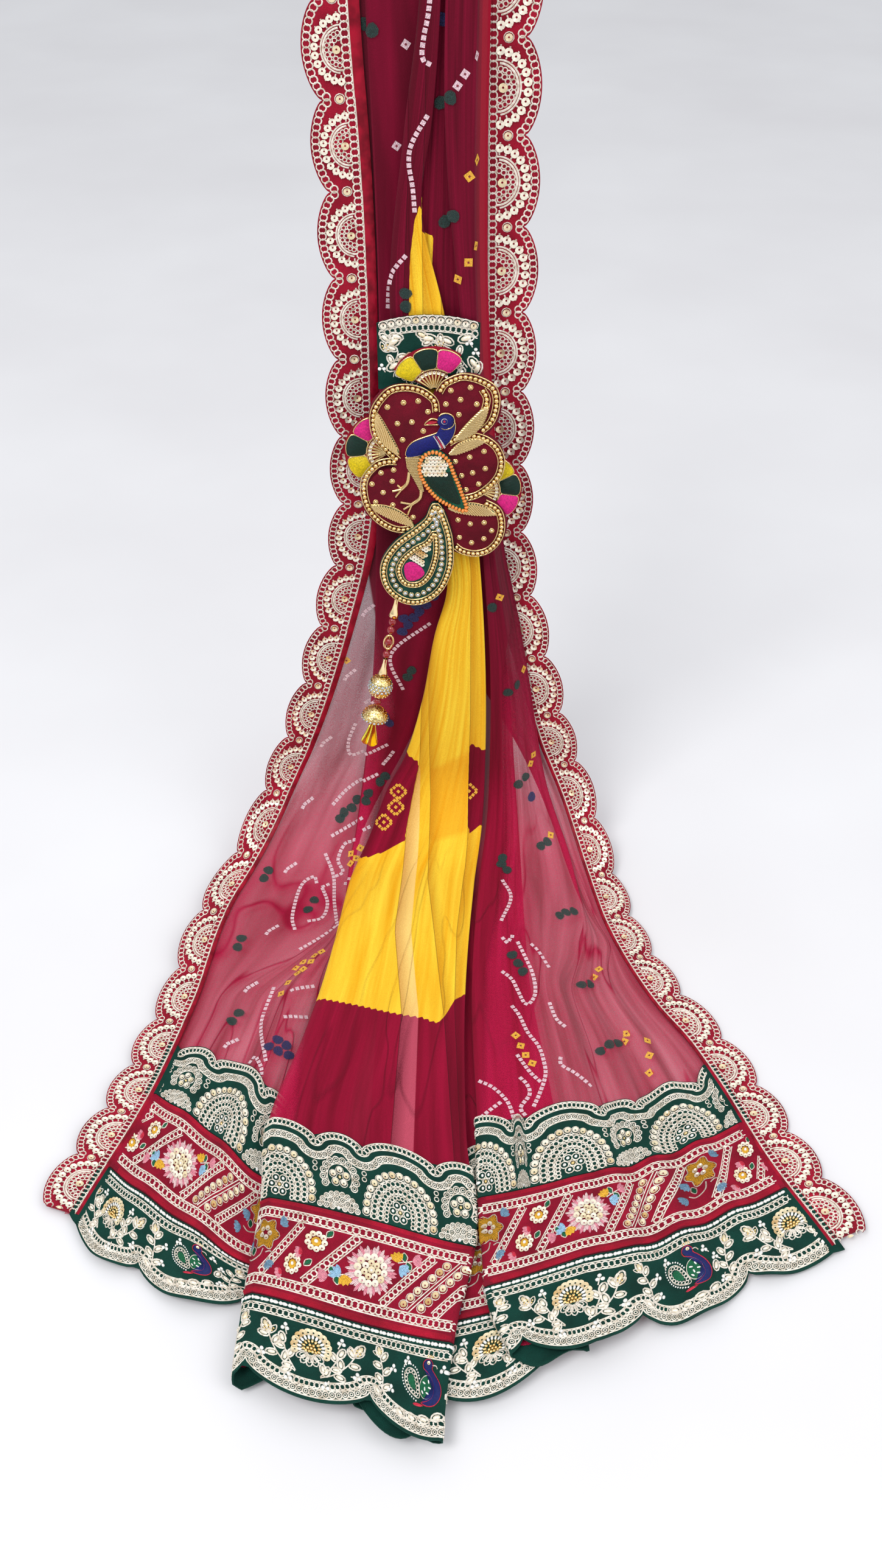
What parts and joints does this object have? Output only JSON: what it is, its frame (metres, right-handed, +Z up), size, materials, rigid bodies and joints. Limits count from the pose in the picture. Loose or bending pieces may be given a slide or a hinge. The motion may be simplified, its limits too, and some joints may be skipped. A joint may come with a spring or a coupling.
{
  "type": "odhni",
  "caption": "Sheer maroon odhni hung by its gathered top edge, held in pleats by a beaded brooch, its embroidered border fanned out over the floor.",
  "frame": {"origin": "centre of the gathered top edge, on the plane of the wall behind it", "axes": "+Z up, +X to the right as seen from the front, -Y out of the wall towards the viewer"},
  "size_m": [0.5001, 0.5053, 0.6595],
  "materials": {
    "georgette": "sheer crepe georgette with a resist-dyed print",
    "red_velvet": "velvet with metal thread, satin strip and sequins",
    "green_velvet": "velvet with metal thread, beads and sequins",
    "maroon_silk": "matte silk with bead and thread embroidery",
    "maroon_velvet": "padded velvet edged with gold beads",
    "silk": "satin stitch in floss silk",
    "gold_thread": "couched gold thread and beads",
    "peacock_blue": "satin stitch in floss silk",
    "gold": "polished gold plate",
    "red_glass": "glossy pearl bead",
    "jewel": "gold ball set with rhinestones"
  },
  "bodies": {
    "root": {"ground_cloth": "georgette", "lace_left": "red_velvet", "lace_right": "red_velvet", "border_top": "green_velvet", "border_middle": "maroon_silk", "border_hem": "green_velvet", "strap": "green_velvet", "brooch_body": "maroon_velvet", "brooch_petals_top": "silk", "brooch_petals_left": "silk", "brooch_petals_right": "silk", "brooch_paisley": "gold_thread", "brooch_peacock": "peacock_blue", "brooch_wing": "gold_thread", "brooch_leaf_1": "gold_thread", "brooch_leaf_2": "gold_thread", "brooch_leaf_3": "gold_thread", "brooch_leaf_4": "gold_thread", "brooch_leaf_5": "gold_thread", "latkan_cone_1": "gold", "latkan_cone_2": "gold", "latkan_cap": "gold", "latkan_ring": "gold", "latkan_drop_1": "gold", "latkan_drop_2": "gold", "latkan_jewel": "jewel", "latkan_bead_1": "red_glass", "latkan_bead_2": "red_glass", "latkan_bead_3": "red_glass", "latkan_bead_4": "red_glass", "latkan_bead_in_ring": "red_glass"}
  },
  "joints": []
}
